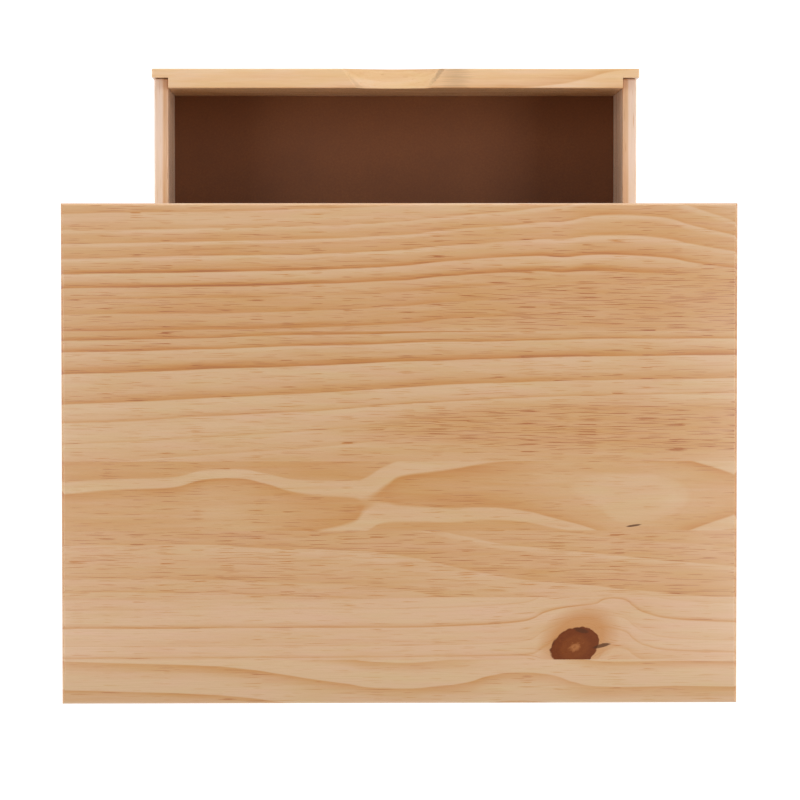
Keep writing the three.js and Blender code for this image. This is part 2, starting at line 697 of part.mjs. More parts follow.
function makeHinge(side, sign) {
  const middle = sign * HINGE_OFFSET;
  const axis = new THREE.Vector3(middle, HINGE_AXIS_Y, HINGE_AXIS_Z);
  const half = HINGE_LENGTH / 2;
  const knuckle = HINGE_KNUCKLE / 2;
  const x = (from, to) => [middle + from, middle + to];
  const pinHole = rod(HINGE_PIN_RADIUS + GAP, -half - THROUGH, half + THROUGH, 16, axis, AXES.x);
  const barrel = (from, to) => rod(HINGE_BARREL_RADIUS, from, to, 16, axis, AXES.x);
  const clearOfBarrel = HINGE_BARREL_RADIUS + GAP;

  const bodyY = [HALF_DEPTH + GAP, BODY_LEAF_FACE];
  const bodyPlateTop = HINGE_AXIS_Z - clearOfBarrel;
  const bodyPlateZ = [HINGE_AXIS_Z - HINGE_LEAF_REACH, bodyPlateTop];
  const bodyPlate = block({ x: x(-half, half), y: bodyY, z: bodyPlateZ });
  const bodyTab = block({ x: x(-knuckle, knuckle), y: bodyY, z: [bodyPlateTop - 1, HINGE_AXIS_Z] });
  const bodyLeaf = cut(join(bodyPlate, [bodyTab, barrel(-knuckle, knuckle)]), [
    pinHole,
    ...bodyLeafScrews(sign).map((at) => screwHole(at, AXES.y.clone().negate())),
  ]);
  add(body, `hinge_body_leaf_${side}`, steel, bodyLeaf);

  const lidZ = [LID_LEAF_UNDERSIDE, LID_LEAF_TOP];
  const lidPlateRear = HINGE_AXIS_Y - clearOfBarrel;
  const lidPlate = block({ x: x(-half, half), y: [HINGE_LID_LEAF_FRONT, lidPlateRear], z: lidZ });
  const outer = [
    [-half, -knuckle - GAP],
    [knuckle + GAP, half],
  ];
  const lidTabs = outer.map(([from, to]) =>
    block({ x: x(from, to), y: [lidPlateRear - 1, HINGE_AXIS_Y], z: lidZ }),
  );
  const lidBarrels = outer.map(([from, to]) => barrel(from, to));
  const lidLeaf = cut(join(lidPlate, [...lidTabs, ...lidBarrels]), [
    pinHole,
    ...lidLeafScrews(sign).map((at) => screwHole(at, AXES.z)),
  ]);
  add(lid, `hinge_lid_leaf_${side}`, steel, lidLeaf);

  const pin = rod(HINGE_PIN_RADIUS, -half, half, 12, axis, AXES.x);
  add(lid, `hinge_pin_${side}`, steel, pin);
  bodyLeafScrews(sign).forEach((at, index) => {
    add(body, `hinge_body_screw_${side}_${index + 1}`, steel, screw(at, AXES.y.clone().negate()));
  });
  lidLeafScrews(sign).forEach((at, index) => {
    add(lid, `hinge_lid_screw_${side}_${index + 1}`, steel, screw(at, AXES.z));
  });
}

// ---------------------------------------------------------------- lid

function makeLid() {
  const box = {
    x: both(LID_WIDTH / 2),
    y: both(LID_DEPTH / 2),
    z: [LID_UNDERSIDE, LID_UNDERSIDE + LID_THICK],
  };
  const holes = SIDES.flatMap(([, sign]) => lidLeafScrews(sign).map((at) => screwHole(at, AXES.z)));
  add(lid, "lid_panel", pine, cut(board(box, "x", EASE, 3), holes));
  const top = LID_UNDERSIDE - GAP;
  for (const [side, sign] of SIDES) {
    const batten = {
      x: off(sign, BATTEN_OFFSET - BATTEN_WIDTH / 2, BATTEN_OFFSET + BATTEN_WIDTH / 2),
      y: both(BATTEN_HALF_LENGTH),
      z: [top - BATTEN_THICK, top],
    };
    add(lid, `lid_batten_${side}`, pine, board(batten, "y", EASE, 2));
  }
}

// ---------------------------------------------------------------- assembly

makePostsAndFeet();
makeRails();
makePanels();
makeFloor();
makeRunners();
makeLid();
for (const [side, sign] of SIDES) makeHinge(side, sign);
makeDrawerFront();
makeDrawerSides();
makeDrawerBackAndBottom();

lid.position.copy(lid.userData.home);
drawer.position.y = -DRAWER_PULL;

// The origin is under the middle of the whole object, with its drawer out, on the ground.
toyBox.position.y = -MIDDLE_OF_DEPTH;

export default toyBox;
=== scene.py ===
"""A pine toy box with a hinged lid and its drawer pulled out, seen from above.

The joinery comes from the frame. Here the lid is glued up from its staves, every board gets its
own cut of pine, and the other pieces get their hardboard, steel, felt and nylon.
"""

import math

import bmesh
import bpy
from mathutils import Matrix, Quaternion, Vector


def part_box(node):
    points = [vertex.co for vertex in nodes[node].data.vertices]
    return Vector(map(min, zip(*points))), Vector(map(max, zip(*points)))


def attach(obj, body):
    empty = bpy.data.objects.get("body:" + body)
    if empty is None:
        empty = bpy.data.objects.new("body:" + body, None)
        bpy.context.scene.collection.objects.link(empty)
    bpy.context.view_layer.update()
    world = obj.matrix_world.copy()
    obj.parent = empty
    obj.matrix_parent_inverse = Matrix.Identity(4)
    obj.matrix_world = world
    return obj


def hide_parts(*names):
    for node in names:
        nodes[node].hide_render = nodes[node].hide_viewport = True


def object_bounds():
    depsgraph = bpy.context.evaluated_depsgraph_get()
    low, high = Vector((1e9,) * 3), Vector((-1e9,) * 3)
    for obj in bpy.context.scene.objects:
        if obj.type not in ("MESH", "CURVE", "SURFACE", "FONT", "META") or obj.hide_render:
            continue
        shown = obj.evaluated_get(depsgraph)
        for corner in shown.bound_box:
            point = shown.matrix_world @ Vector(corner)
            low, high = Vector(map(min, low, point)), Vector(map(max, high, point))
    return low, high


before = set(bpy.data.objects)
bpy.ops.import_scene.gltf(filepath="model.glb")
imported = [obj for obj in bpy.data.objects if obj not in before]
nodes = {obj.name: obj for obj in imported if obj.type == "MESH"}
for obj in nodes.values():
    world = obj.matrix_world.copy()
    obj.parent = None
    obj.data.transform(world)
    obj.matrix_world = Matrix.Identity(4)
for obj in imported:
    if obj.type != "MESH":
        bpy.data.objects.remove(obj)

cad_low, cad_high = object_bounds()
MM = 0.001


# ---------------------------------------------------------------- small helpers

COORDINATES = "ShaderNodeTexCoord"
NOISE = "ShaderNodeTexNoise"
MATH = "ShaderNodeMath"
RANGE = "ShaderNodeMapRange"
RAMP = "ShaderNodeValToRGB"
TOGETHER = "ShaderNodeCombineXYZ"
APART = "ShaderNodeSeparateXYZ"
VECTOR_MATH = "ShaderNodeVectorMath"
BUMP = "ShaderNodeBump"
MIX = "ShaderNodeMix"
SHARE, FIRST_NUMBER, SECOND_NUMBER, FIRST_COLOUR, SECOND_COLOUR = 0, 2, 3, 6, 7  # a mix's inputs
MIXED_COLOUR = 2  # a mix's output when it mixes colours


def linear(hex_colour):
    """An sRGB hex colour as linear red, green, blue and alpha."""
    parts = [int(hex_colour[i:i + 2], 16) / 255 for i in (1, 3, 5)]
    return [c / 12.92 if c <= 0.04045 else ((c + 0.055) / 1.055) ** 2.4 for c in parts] + [1.0]


def add(tree, kind, inputs=(), stops=(), **settings):
    """Adds a node with its settings and links. Its inputs come in order, or by name or number in
    a dict. Each is a value, a socket, or a node whose first output feeds it. stops are a colour
    ramp's places and hex colours."""
    made = tree.nodes.new(kind)
    for name, value in settings.items():
        setattr(made, name, value)
    for key, value in inputs.items() if isinstance(inputs, dict) else enumerate(inputs):
        if isinstance(value, bpy.types.Node):
            value = value.outputs[0]
        if isinstance(value, bpy.types.NodeSocket):
            tree.links.new(value, made.inputs[key])
        else:
            made.inputs[key].default_value = value
    for index, (place, hex_colour) in enumerate(stops):
        elements = made.color_ramp.elements
        element = elements[index] if index < len(elements) else elements.new(place)
        element.position = place
        element.color = linear(hex_colour)
    return made


def blank(name):
    """A material without nodes, and its node tree."""
    made = bpy.data.materials.new(name)
    made.use_nodes = True
    made.node_tree.nodes.clear()
    return made, made.node_tree


def show(tree, inputs):
    """Gives a material its surface."""
    surface = add(tree, "ShaderNodeBsdfPrincipled", inputs)
    add(tree, "ShaderNodeOutputMaterial", (surface,))


def curve(tree, value, low, high, points, handles="AUTO"):
    """A line drawn through the given points of (value, height), as a node that gives the height."""
    heights = [height for _, height in points]
    bottom = min(heights)
    span = max(heights) - bottom
    along = add(tree, RANGE, (value, low, high, 0.0, 1.0))
    drawn = add(tree, "ShaderNodeFloatCurve", {"Value": along})
    line = drawn.mapping.curves[0]
    while len(line.points) < len(points):
        line.points.new(0.5, 0.5)
    for point, (at, height) in zip(line.points, points):
        point.location = ((at - low) / (high - low), (height - bottom) / span)
        point.handle_type = handles
    drawn.mapping.update()
    return add(tree, MATH, (drawn, span, bottom), operation="MULTIPLY_ADD")


def how_far(tree, parts):
    """The distance from the origin to the point whose coordinates are parts."""
    vector = add(tree, TOGETHER, parts)
    return add(tree, VECTOR_MATH, (vector,), operation="LENGTH").outputs["Value"]


# ---------------------------------------------------------------- pine

# Tones of pine from earlywood to latewood, each board a blend of a yellow cut and a rosy one.
LID_PINE = (
    [(0.0, "#cfaf86"), (0.3, "#caa274"), (0.55, "#c59560"), (0.8, "#be844a"), (1.0, "#ad7142")],
    [(0.0, "#d3ac8d"), (0.3, "#cda17c"), (0.55, "#c69467"), (0.8, "#be8352"), (1.0, "#a56747")],
)
PALE_PINE = (
    [(0.0, "#dcc095"), (0.3, "#d9b587"), (0.6, "#cb9c69"), (1.0, "#b07e4c")],
    [(0.0, "#e4cbb9"), (0.3, "#dcb999"), (0.6, "#c99a73"), (1.0, "#ac7852")],
)
KNOT_TONES = [(0.0, "#a8693a"), (0.3, "#7a3c10"), (0.8, "#6b2f07"), (1.0, "#4c2005")]
KNOT_HALO = "#bf8550"
# Dark brown of the resin spots, also used for the painted shade along the drawer front's scoop.
RESIN_AND_SHADE_BROWN = "#4d2609"

# Sizes of pine's patterns in mm, along the grain and across it.
WANDER = (110.0, 26.0)  # how the rings stray from true cylinders
FIBRE = (45.0, 0.8)  # tracheids are finer, and drawn as fine as shows
FIBRE_BUNDLES = (90.0, 5.0)
STREAKS = (24.0, 0.6)  # resin canals cut lengthways
STREAK_FIELDS = (70.0, 22.0)  # where they gather
FLUSH = (60.0, 9.0)  # rosy and yellow areas
YEAR_EDGE = 0.8  # how fast latewood gives way to the next year's earlywood
BEYOND_YEARS = 8.0  # plain wood inside the first drawn year and outside the last

# Shares of the tone, which runs from 0 for the palest wood to 1 for the darkest.
MIDDLING = 0.32  # plain wood
FIBRE_TONE = 0.5
STREAK_TONE = 0.55
END_GRAIN_TONE = 0.45
CALM_TONE = 0.46  # where the rings fade out
RING_FADE, RING_LEAST = 1.2, 0.32  # how much the rings' contrast comes and goes
STREAK_LIMIT = 0.775  # noise above this makes a streak
STREAK_EASE = 0.1  # by which the limit drops where streaks gather
STREAK_SHARPNESS = 24.0
CALM_STREAKS = 0.75  # how many more streaks gather there
FLUSH_CONTRAST = 1.6


def distances(tree, axes, start):
    """Distances in mm along the grain, across the face and out of it, counted from start.
    axes names them in that order, with a capital where the count runs backwards."""
    apart = add(tree, APART, (add(tree, COORDINATES).outputs["Object"],))
    found = []
    for axis, origin in zip(axes, start):
        sign = -1.0 if axis.isupper() else 1.0
        inputs = (apart.outputs["xyz".index(axis.lower())], sign / MM, -sign * origin / MM)
        found.append(add(tree, MATH, inputs, operation="MULTIPLY_ADD"))
    return found


def stretched_noise(tree, place, size, shift, detail, roughness=0.5):
    """Noise drawn out along the grain, its marks of the given length and width in mm."""
    length, width = size
    along, across, out = place
    parts = [add(tree, MATH, (along, 1 / length, shift), operation="MULTIPLY_ADD")]
    for value in (across, out):
        parts.append(add(tree, MATH, (value, 1 / width), operation="MULTIPLY"))
    vector = add(tree, TOGETHER, parts)
    inputs = {"Vector": vector, "Scale": 1.0, "Detail": detail, "Roughness": roughness}
    return add(tree, NOISE, inputs)


def patch(tree, place, centre, reach):
    """1 in the middle of an oval patch, falling smoothly to 0 at its edge."""
    parts = [
        add(tree, MATH, (value, 1 / size, -middle / size), operation="MULTIPLY_ADD")
        for value, middle, size in zip(place, centre, reach)
    ]
    core = 0.55
    limits = (how_far(tree, parts), core, 1.0, 1.0, 0.0)
    return add(tree, RANGE, limits, interpolation_type="SMOOTHSTEP")


def year_profile(years, low, high):
    """Points of tone against distance from the heart: each year darkens slowly to its latewood
    and ends at a clean edge. years holds (edge in mm, tone before it, tone after it)."""
    late_share, late_tone = 0.62, 0.36  # how far into its width and its tone a year turns steep
    points = [(low, MIDDLING)]
    for edge, before, after in years:
        begin, pale = points[-1]
        points.append((begin + late_share * (edge - begin), pale + late_tone * (before - pale)))
        points += [(edge, before), (edge + YEAR_EDGE, after)]
    points.append((high, MIDDLING))
    return points


def steady_years(tree, distance, width):
    """Rings of about one width for boards whose figure isn't drawn by hand."""
    uneven_over, uneven_by = 0.045, 1.6  # per mm, and in widths
    steepness = 2.2
    edge_begins = 0.93
    contrast, least_contrast = 0.45, 0.4
    shift = add(tree, NOISE, {"W": distance, "Scale": uneven_over}, noise_dimensions="1D")
    uneven = add(tree, MATH, (shift, uneven_by * width, distance), operation="MULTIPLY_ADD")
    count = add(tree, MATH, (uneven, width), operation="DIVIDE")
    year = add(tree, MATH, (count,), operation="FLOOR")
    part = add(tree, MATH, (count,), operation="FRACT")
    rise = add(tree, MATH, (part, steepness), operation="POWER")
    fall = add(tree, RANGE, (part, edge_begins, 1.0, 1.0, 0.0))
    strength = add(tree, "ShaderNodeTexWhiteNoise", {"W": year}, noise_dimensions="1D")
    strong = add(tree, MATH, (strength, contrast, least_contrast), operation="MULTIPLY_ADD")
    shape = add(tree, MATH, (rise, fall), operation="MULTIPLY")
    return add(tree, MATH, (shape, strong), operation="MULTIPLY")


def oval(tree, place, centre, size, tilt):
    """Where a point is in a tilted oval, as shares of its half length and half width, then how far
    out that is, 1 at the rim, and its distance across the grain from the middle."""
    turn = math.radians(tilt)
    from_along, from_across = (
        add(tree, MATH, (value, middle), operation="SUBTRACT") for value, middle in zip(place, centre)
    )
    steps = ((size[0], math.cos(turn), math.sin(turn)), (size[1], -math.sin(turn), math.cos(turn)))
    parts = []
    for half, first, second in steps:
        part = add(tree, MATH, (from_along, first / half), operation="MULTIPLY")
        parts.append(add(tree, MATH, (from_across, second / half, part), operation="MULTIPLY_ADD"))
    return add(tree, TOGETHER, parts), how_far(tree, parts), from_across


def round_the_knot(tree, across, far, from_across):
    """Grain that parts round a knot as water does round a pier."""
    reach = 0.9
    ratio = add(tree, MATH, (far, reach), operation="DIVIDE")
    safe = add(tree, MATH, (ratio, 1.0), operation="MAXIMUM")
    square = add(tree, MATH, (safe, safe), operation="MULTIPLY")
    push = add(tree, MATH, (-1.0, square), operation="DIVIDE")
    return add(tree, MATH, (from_across, push, across), operation="MULTIPLY_ADD")


def knot_colour(tree, wood, place, far):
    """A live knot: red-brown rings that darken outwards to a ragged edge, in an orange halo."""
    raggedness = 0.3
    rings_outward, rings_curled, ring_contrast = 5.0, 3.0, 0.26
    rim_tone = 0.72
    halo_middle, halo_reach, halo_strength = (0.3, -0.35, 0.0), 1.75, 0.85
    rim_begins, rim_ends = 0.97, 1.02
    ragged = add(tree, NOISE, {"Vector": place, "Scale": 2.6, "Detail": 4.0})
    uneven = add(tree, MATH, (ragged, raggedness, -raggedness / 2), operation="MULTIPLY_ADD")
    rough_far = add(tree, MATH, (far, uneven), operation="ADD")
    curl = add(tree, NOISE, {"Vector": place, "Scale": 5.0, "Detail": 2.0, "Distortion": 1.5})
    outward = add(tree, MATH, (far, rings_outward), operation="MULTIPLY")
    curled = add(tree, MATH, (curl, rings_curled, outward), operation="MULTIPLY_ADD")
    rings = add(tree, MATH, (curled, 1.0), operation="PINGPONG")
    darker = add(tree, RANGE, (rough_far, 0.1, 1.0, 0.0, rim_tone))
    tone = add(tree, MATH, (rings, ring_contrast, darker), operation="MULTIPLY_ADD")
    knot_wood = add(tree, RAMP, (tone,), stops=KNOT_TONES)
    off_centre = add(tree, VECTOR_MATH, (place, halo_middle), operation="SUBTRACT")
    halo_far = add(tree, VECTOR_MATH, (off_centre,), operation="LENGTH").outputs["Value"]
    halo = add(tree, RANGE, (halo_far, 1.0, halo_reach, halo_strength, 0.0))
    tints = {SHARE: halo, FIRST_COLOUR: wood, SECOND_COLOUR: linear(KNOT_HALO)}
    around = add(tree, MIX, tints, data_type="RGBA").outputs[MIXED_COLOUR]
    inside = add(tree, RANGE, (rough_far, rim_begins, rim_ends, 1.0, 0.0))
    tints = {SHARE: inside, FIRST_COLOUR: around, SECOND_COLOUR: knot_wood}
    return add(tree, MIX, tints, data_type="RGBA").outputs[MIXED_COLOUR]


def resin_spot_and_shade_mark(tree, wood, far, ragged, strength):
    """A small dark mark, ragged where the fibres run: a spot of resin on the lid's staves, and
    painted shade along the drawer front's scoop.
    """
    edge = add(tree, MATH, (far, ragged), operation="ADD")
    full, none = 1.3, 1.7
    dark = add(tree, RANGE, (edge, full, none, strength, 0.0))
    tints = {SHARE: dark, FIRST_COLOUR: wood, SECOND_COLOUR: linear(RESIN_AND_SHADE_BROWN)}
    return add(tree, MIX, tints, data_type="RGBA").outputs[MIXED_COLOUR]


def ring_tone(tree, distance, years, ring, fading):
    """The tone of the year rings, whose contrast comes and goes."""
    if years:
        low, high = years[0][0] - BEYOND_YEARS, years[-1][0] + BEYOND_YEARS
        rings = curve(tree, distance, low, high, year_profile(years, low, high), "VECTOR")
    else:
        rings = steady_years(tree, distance, ring)
    fade = add(tree, MATH, (fading, RING_FADE, RING_LEAST), operation="MULTIPLY_ADD")
    contrast = add(tree, MATH, (rings, MIDDLING), operation="SUBTRACT")
    return add(tree, MATH, (contrast, fade, MIDDLING), operation="MULTIPLY_ADD")


def resin_streaks(tree, grain, place, shift, density):
    """1 on the short dark streaks of resin canals, 0 between them."""
    dash = stretched_noise(tree, grain, STREAKS, shift + 11, 0.0)
    field = stretched_noise(tree, place, STREAK_FIELDS, shift + 17, 1.0)
    gathered = add(tree, MATH, (field, density), operation="ADD")
    needed = add(tree, MATH, (gathered, -STREAK_EASE, STREAK_LIMIT), operation="MULTIPLY_ADD")
    over = add(tree, MATH, (dash, needed), operation="SUBTRACT")
    return add(tree, MATH, (over, STREAK_SHARPNESS), operation="MULTIPLY", use_clamp=True)


def end_grain(tree, axis):
    """1 on the faces that cut across the grain, 0 on those along it."""
    facing = add(tree, APART, (add(tree, COORDINATES).outputs["Normal"],)).outputs["xyz".index(axis)]
    return add(tree, MATH, (facing, facing), operation="MULTIPLY")


def pine(name, axes, start, length, heart=((0, -55),), depth=((0, 18),), swell=((0, 1),),
         years=None, ring=9.0, calm=None, streaks=0.3, knot=None, marks=(), warp=1.6, shift=0.0,
         tone=0.0, rosy=0.5, tones=LID_PINE):
    """Planed pine under clear satin lacquer: pale earlywood that darkens through each year to an
    orange latewood line with a clean edge, fine fibres, and short dark streaks of cut resin
    canals. The rings are cylinders round the tree's heart, which wanders along the board, so
    faces, edges and ends agree. heart, depth and swell say where it runs and how the tree
    thickens, against the distance along the board: across the face, below it, and as a share."""
    made, tree = blank(name)
    place = along, across, out = distances(tree, axes, start)
    slow = stretched_noise(tree, place, WANDER, shift, 2.0, 0.55)
    strays = add(tree, "ShaderNodeSeparateColor", (slow.outputs["Color"],)).outputs
    strayed = []
    for value, stray in zip((across, out), strays):
        by = add(tree, MATH, (stray, 2 * warp, -warp), operation="MULTIPLY_ADD")
        strayed.append(add(tree, MATH, (value, by), operation="ADD"))
    bent, deep = strayed
    if knot:
        knot_place, knot_far, knot_across = oval(tree, place, *knot)
        bent = round_the_knot(tree, bent, knot_far, knot_across)
    heart_across, heart_below, swollen = (
        curve(tree, along, 0, length, line) if len(line) > 1 else line[0][1]
        for line in (heart, depth, swell)
    )
    aside = add(tree, MATH, (bent, heart_across), operation="SUBTRACT")
    above = add(tree, MATH, (deep, heart_below), operation="ADD")
    distance = add(tree, MATH, (how_far(tree, (aside, above)), swollen), operation="DIVIDE")
    rings = ring_tone(tree, distance, years, ring, strays[2])
    density = streaks
    if calm:
        still = patch(tree, place, *calm)
        calmed = {SHARE: still, FIRST_NUMBER: rings, SECOND_NUMBER: CALM_TONE}
        rings = add(tree, MIX, calmed)
        density = add(tree, MATH, (still, CALM_STREAKS, streaks), operation="MULTIPLY_ADD")

    grain = (along, bent, out)
    fibre = stretched_noise(tree, grain, FIBRE, shift + 3, 3.0, 0.6)
    bundles = stretched_noise(tree, grain, FIBRE_BUNDLES, shift + 7, 3.0, 0.6)
    dashes = resin_streaks(tree, grain, place, shift, density)
    layers = (
        (fibre, FIBRE_TONE),
        (bundles, FIBRE_TONE),
        (dashes, STREAK_TONE),
        (end_grain(tree, axes[0].lower()), END_GRAIN_TONE),
    )
    without_fibres = tone - FIBRE_TONE  # two layers of noise about 0.5, each at that strength
    total = add(tree, MATH, (rings, without_fibres), operation="ADD")
    for layer, strength in layers:
        total = add(tree, MATH, (layer, strength, total), operation="MULTIPLY_ADD")

    area = stretched_noise(tree, place, FLUSH, shift + 23, 2.0)
    flushed = (area, FLUSH_CONTRAST, rosy - FLUSH_CONTRAST / 2)
    share = add(tree, MATH, flushed, operation="MULTIPLY_ADD", use_clamp=True)
    yellow, red = (add(tree, RAMP, (total,), stops=stops) for stops in tones)
    tints = {SHARE: share, FIRST_COLOUR: yellow, SECOND_COLOUR: red}
    colour = add(tree, MIX, tints, data_type="RGBA").outputs[MIXED_COLOUR]
    if knot:
        colour = knot_colour(tree, colour, knot_place, knot_far)
    for *mark, strength in marks:
        colour = resin_spot_and_shade_mark(tree, colour, oval(tree, place, *mark)[1], fibre, strength)
    canal_depth = -0.8
    relief = add(tree, MATH, (dashes, canal_depth, fibre), operation="MULTIPLY_ADD")
    show(tree, {
        "Base Color": colour,
        "Roughness": add(tree, MATH, (fibre, 0.12, 0.22), operation="MULTIPLY_ADD"),
        "Normal": add(tree, BUMP, {"Strength": 0.3, "Distance": 0.05 * MM, "Height": relief}),
        "IOR": 1.45,
    })
    return made


# ---------------------------------------------------------------- other materials

def mottle(tree, size, detail):
    """Even noise all over a piece, its marks of the given size in mm."""
    place = add(tree, COORDINATES).outputs["Object"]
    return add(tree, NOISE, {"Vector": place, "Scale": 1 / (size * MM), "Detail": detail})


def hardboard(name):
    """Brown wet-process hardboard: its smooth face shows a faint mottle of pressed fibre."""
    made, tree = blank(name)
    fine = mottle(tree, 1.6, 4.0)
    cloud = add(tree, MATH, (mottle(tree, 60, 3.0), 0.4), operation="MULTIPLY")
    mixed = add(tree, MATH, (fine, 0.6, cloud), operation="MULTIPLY_ADD")
    browns = [(0.25, "#5f3211"), (0.5, "#6a3a14"), (0.75, "#76431b")]
    show(tree, {
        "Base Color": add(tree, RAMP, (mixed,), stops=browns),
        "Roughness": 0.6,
        "Normal": add(tree, BUMP, {"Strength": 0.25, "Distance": 0.1 * MM, "Height": fine}),
        "IOR": 1.5,
    })
    return made


def zinc_plated_steel(name, grain):
    """Pressed steel with bright zinc plate: grey metal, faintly clouded in patches of grain mm."""
    made, tree = blank(name)
    cloud = mottle(tree, grain, 4.0)
    show(tree, {
        "Base Color": add(tree, RAMP, (cloud,), stops=[(0.3, "#a9aaa6"), (0.7, "#c6c6c1")]),
        "Metallic": 1.0,
        "Roughness": add(tree, MATH, (cloud, 0.2, 0.24), operation="MULTIPLY_ADD"),
    })
    return made


def pressed_felt(name):
    """Pressed wool felt: a soft grey-brown mat of fibres that takes no shine. The fibres are
    finer, and drawn as fine as shows."""
    made, tree = blank(name)
    fuzz = mottle(tree, 0.8, 5.0)
    show(tree, {
        "Base Color": add(tree, RAMP, (fuzz,), stops=[(0.3, "#5f584f"), (0.7, "#8b8377")]),
        "Roughness": 0.95,
        "Normal": add(tree, BUMP, {"Strength": 0.6, "Distance": 0.2 * MM, "Height": fuzz}),
        "Sheen Weight": 0.4,
    })
    return made


def moulded_nylon(name):
    """Dark moulded nylon, faintly mottled and unevenly glossy where it has been scuffed."""
    made, tree = blank(name)
    scuffs = mottle(tree, 1.2, 2.0)
    show(tree, {
        "Base Color": add(tree, RAMP, (scuffs,), stops=[(0.3, "#2e2721"), (0.7, "#3d342c")]),
        "Roughness": add(tree, MATH, (scuffs, 0.2, 0.38), operation="MULTIPLY_ADD"),
        "IOR": 1.53,
    })
    return made


# ---------------------------------------------------------------- the lid, glued from staves

LID_EASE = 2.6 * MM  # radius of the lid's eased edges
LID_EASE_SEGMENTS = 5
LID_EASE_PROFILE = 0.36
SHARP_ANGLE = 35  # degrees, for pieces made here
lid_low, lid_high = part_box("lid_panel")

# Each stave of the lid, from the front edge back: its width in mm, then how it was cut from the
# tree, in pine()'s terms. Distances along the grain count from the lid's right end.
STAVES = [
    dict(
        width=102.0,
        heart=[(0, -40), (179, -43), (271, -46), (340, -50), (400, -45), (463, -38), (500, -37),
               (540, -42)],
        depth=[(0, 12), (179, 12), (271, 15), (340, 24), (400, 42), (463, 55), (500, 49),
               (540, 20)],
        years=[(38, 0.4, 0.2), (49.3, 0.5, 0.05), (62.4, 0.42, 0.0), (66, 0.3, 0.35),
               (72.7, 0.6, 0.0), (76, 0.3, 0.4), (84.4, 0.62, -0.05), (88, 0.2, 0.3),
               (97, 0.95, 0.0), (108.2, 0.98, 0.25), (117.3, 0.62, 0.4), (129.2, 0.7, 0.3),
               (142.4, 0.8, 0.4)],
        calm=((540, 80), (280, 36)), streaks=0.35, shift=1.0,
    ),
    dict(
        width=104.0,
        heart=[(0, -60), (179, -57.8), (363, -52.6), (540, -51)],
        depth=[(0, 14), (300, 16), (540, 18)],
        swell=[(0, 1), (179, 0.92), (363, 0.8), (540, 0.76)],
        years=[(68.5, 0.85, 0.2), (77.7, 0.8, 0.05), (94.6, 0.95, 0.0), (118.8, 0.7, 0.0),
               (129.5, 0.2, 0.2), (133.9, 0.6, 0.05), (148, 0.1, 0.1), (151.2, 0.4, 0.05),
               (166, 0.4, 0.1)],
        calm=((480, 76), (320, 26)), streaks=0.4, shift=21.0, rosy=0.4,
    ),
    dict(
        width=55.5,
        heart=[(0, 45.5), (34, 44.5), (78, 44.5), (123, 41.5), (191, 41.5), (233, 38.5), (242, 35),
               (262, 25.5), (275, 23.5), (303, 22.5), (357, 19), (393, 20), (432, 25), (454, 30),
               (483, 29), (515, 27), (540, 27)],
        depth=[(0, 28.6), (52, 26.3), (90, 25), (130, 19.3), (160, 24), (191, 30.4), (233, 33),
               (246, 34.2), (258, 33.6), (271, 32.2), (303, 30.8), (357, 28.5), (393, 23),
               (432, 13), (454, 5), (479, 11), (503, 20.4), (515, 24.8), (540, 30.8)],
        years=[(5, 0.06, 0.06), (14, 0.02, 0.02), (21, 0.3, 0.28), (34, 0.66, 0.06),
               (40, 0.1, 0.46), (54, 0.55, 0.5)],
        marks=[((457, 51.7), (5.5, 0.8), -8, 0.85)],
        streaks=0.0, shift=43.0, warp=0.6, rosy=0.35, tone=0.03,
    ),
    dict(
        width=53.5,
        heart=[(0, -58.4), (124, -58.4), (160, -56), (217, -54.6), (251, -52.6), (323, -39),
               (358, -32.4), (411, -27.2), (463, -21.6), (540, -15)],
        depth=[(0, 14)],
        years=[(32, 0.45, 0.3), (46, 0.45, 0.08), (51, 0.32, 0.36), (71, 0.46, 0.12),
               (84, 0.3, 0.28), (98, 0.42, 0.2), (106, 0.25, 0.25), (108.6, 0.55, 0.15),
               (118, 0.3, 0.2)],
        streaks=0.8, shift=67.0,
    ),
    dict(
        width=50.0,
        heart=[(0, -60), (160, -60.4), (300, -61), (367, -63), (386, -68.5), (400, -70.6),
               (416, -71.6), (428, -73.7), (444, -79), (456, -74.5), (467, -69.6), (494, -65.5),
               (540, -64)],
        depth=[(0, 14)],
        years=[(63, 0.3, 0.1), (69, 0.1, 0.1), (71, 0.3, 0.0), (81.5, 0.1, 0.1), (85.6, 0.75, 0.0),
               (98, 0.2, 0.1), (99.8, 0.35, 0.0), (106, 0.1, 0.1), (109, 0.55, 0.1),
               (120, 0.4, 0.1)],
        marks=[((431.5, 39.0), (7.0, 1.5), -14, 0.85), ((415.5, 26.8), (6.0, 2.0), 12, 0.75)],
        streaks=0.12, shift=83.0, tone=-0.05, knot=((410.0, 40.0), (20.5, 15.0), -27.0), warp=0.8,
        rosy=0.65,
    ),
    dict(
        width=35.0,
        heart=[(0, 59.5), (53, 61), (105, 62.7), (148, 66), (174, 70), (225, 77.3), (271, 81.7),
               (297, 80.3), (323, 77), (345, 71), (366, 69), (384, 70), (410, 77), (435, 80.7),
               (497, 80.3), (540, 80.7)],
        depth=[(0, 14)],
        years=[(38, 0.75, 0.0), (60, 0.68, -0.1), (80, 0.62, 0.0), (94, 0.5, 0.0)],
        streaks=0.1, shift=101.0, tone=-0.12, warp=0.6, rosy=0.45,
    ),
]


def rounded_board(low, high, radius):
    """A board as a bmesh, with its upper and lower edges rounded."""
    board = bmesh.new()
    bmesh.ops.create_cube(board, size=1.0)
    size = high - low
    for vertex in board.verts:
        vertex.co = Vector(low[i] + (vertex.co[i] + 0.5) * size[i] for i in range(3))
    level = 1e-6
    edges = [edge for edge in board.edges if abs(edge.verts[0].co.z - edge.verts[1].co.z) < level]
    bmesh.ops.bevel(
        board, geom=edges, offset=radius, segments=LID_EASE_SEGMENTS, profile=LID_EASE_PROFILE,
        affect="EDGES",
    )
    return board


